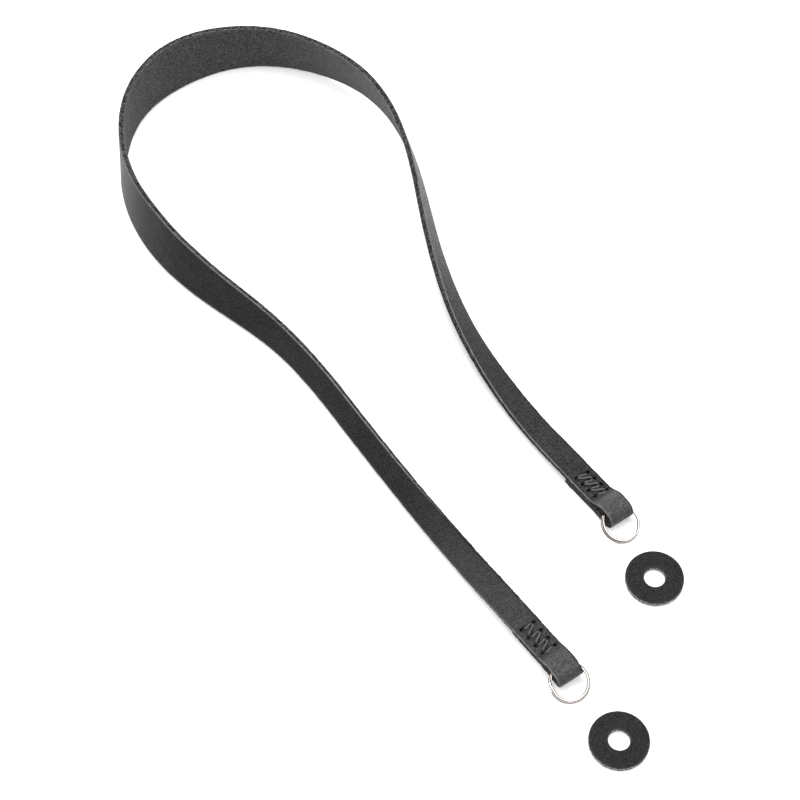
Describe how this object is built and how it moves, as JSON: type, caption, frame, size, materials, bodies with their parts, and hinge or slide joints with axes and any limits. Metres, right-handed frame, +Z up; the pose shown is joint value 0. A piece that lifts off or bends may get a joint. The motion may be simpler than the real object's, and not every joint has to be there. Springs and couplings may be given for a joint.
{
  "type": "camera strap",
  "caption": "Leather camera neck strap, wide in the middle, with narrow ends folded round split rings and laced, lying in a loop beside its loose round leather washers",
  "frame": {"origin": "on the surface the strap lies on, under the middle of the whole part's box", "axes": "+Y from the ringed ends to the loop, +Z up from the surface, +X from end A's side to end B's side"},
  "size_m": [0.1663, 0.5002, 0.0364],
  "materials": {
    "strap_leather": "dyed charcoal black, smooth satin grain outside, suede flesh side, raw cut edges",
    "lace_leather": "charcoal black, matte, waxed",
    "ring_steel": "nickel-plated steel, bright",
    "washer_leather": "dyed charcoal black, fine grain, raw cut edge"
  },
  "bodies": {
    "root": {"strap": "strap_leather", "lacing_a": "lace_leather", "lacing_b": "lace_leather", "split_ring_a": "ring_steel", "split_ring_b": "ring_steel", "washer_a": "washer_leather", "washer_b": "washer_leather"}
  },
  "joints": []
}
